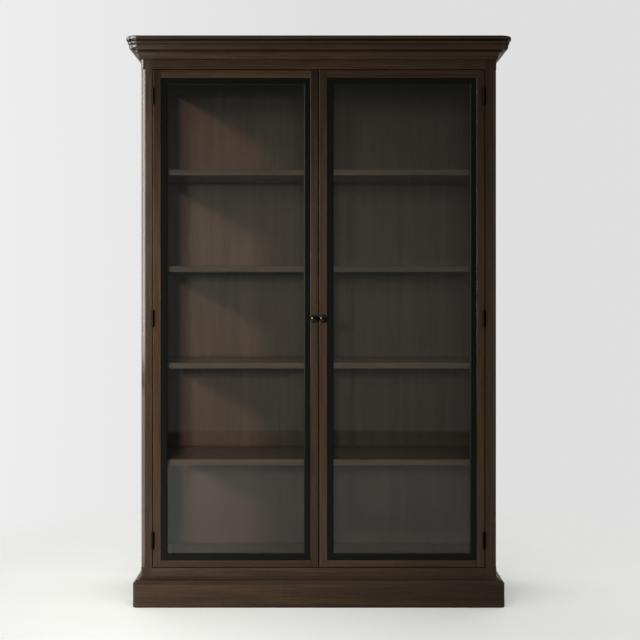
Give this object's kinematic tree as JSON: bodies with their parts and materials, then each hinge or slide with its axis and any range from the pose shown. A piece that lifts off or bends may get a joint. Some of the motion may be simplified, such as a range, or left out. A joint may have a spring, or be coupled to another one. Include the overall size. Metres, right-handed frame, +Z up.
{
  "type": "bookcase with glass doors",
  "caption": "Tall stained wood bookcase with hinged flush glass doors in black metal glazing frames, round-cornered posts, moulded cornice and plinth, and shelves on pins.",
  "frame": {"origin": "on the floor under the middle of the whole object", "axes": "+Z up, -Y the front with the doors, +X to the right when facing the front"},
  "size_m": [1.481, 0.4536, 2.189],
  "materials": {
    "stained_wood": "dark brown stain under satin lacquer",
    "black_metal": "satin black paint",
    "dark_bronze": "dark oiled bronze",
    "steel": "plain bright zinc",
    "black_plastic": "matt moulded",
    "clear_glass": "clear float glass"
  },
  "bodies": {
    "case": {"back_bottom_rail": "stained_wood", "back_panel": "stained_wood", "back_top_rail": "stained_wood", "bottom_rail": "stained_wood", "cornice_front": "stained_wood", "door_catches": "black_plastic", "dust_board": "stained_wood", "frieze_rail": "stained_wood", "hinge_frame_leaves": "dark_bronze", "hinge_frame_screws": "steel", "hinge_pins": "dark_bronze", "inside_bottom_board": "stained_wood", "inside_top_board": "stained_wood", "left_cornice_side": "stained_wood", "left_door_stop": "stained_wood", "left_front_post": "stained_wood", "left_plinth_side": "stained_wood", "left_rear_post": "stained_wood", "left_side_bottom_rail": "stained_wood", "left_side_panel": "stained_wood", "left_side_top_rail": "stained_wood", "plinth_front": "stained_wood", "right_cornice_side": "stained_wood", "right_door_stop": "stained_wood", "right_front_post": "stained_wood", "right_plinth_side": "stained_wood", "right_rear_post": "stained_wood", "right_side_bottom_rail": "stained_wood", "right_side_panel": "stained_wood", "right_side_top_rail": "stained_wood", "shelf_1": "stained_wood", "shelf_2": "stained_wood", "shelf_3": "stained_wood", "shelf_4": "stained_wood", "shelf_pins": "steel"},
    "left_door": {"left_door_bottom_rail": "stained_wood", "left_door_glass": "clear_glass", "left_door_glazing_beads": "black_metal", "left_door_hinge_leaves": "dark_bronze", "left_door_hinge_screws": "steel", "left_door_hinge_stile": "stained_wood", "left_door_knob": "dark_bronze", "left_door_knob_screw": "steel", "left_door_meeting_stile": "stained_wood", "left_door_metal_frame": "black_metal", "left_door_strike": "steel", "left_door_top_rail": "stained_wood"},
    "right_door": {"right_door_bottom_rail": "stained_wood", "right_door_glass": "clear_glass", "right_door_glazing_beads": "black_metal", "right_door_hinge_leaves": "dark_bronze", "right_door_hinge_screws": "steel", "right_door_hinge_stile": "stained_wood", "right_door_knob": "dark_bronze", "right_door_knob_screw": "steel", "right_door_meeting_stile": "stained_wood", "right_door_metal_frame": "black_metal", "right_door_strike": "steel", "right_door_top_rail": "stained_wood"}
  },
  "joints": [
    {"name": "left_door_hinge", "type": "hinge", "parent": "case", "child": "left_door", "pos_m": [-0.638, -0.17805, 1.108], "axis": [0, 0, -1], "range_deg": [0, 170]},
    {"name": "right_door_hinge", "type": "hinge", "parent": "case", "child": "right_door", "pos_m": [0.638, -0.17805, 1.108], "axis": [0, 0, 1], "range_deg": [0, 170]}
  ]
}
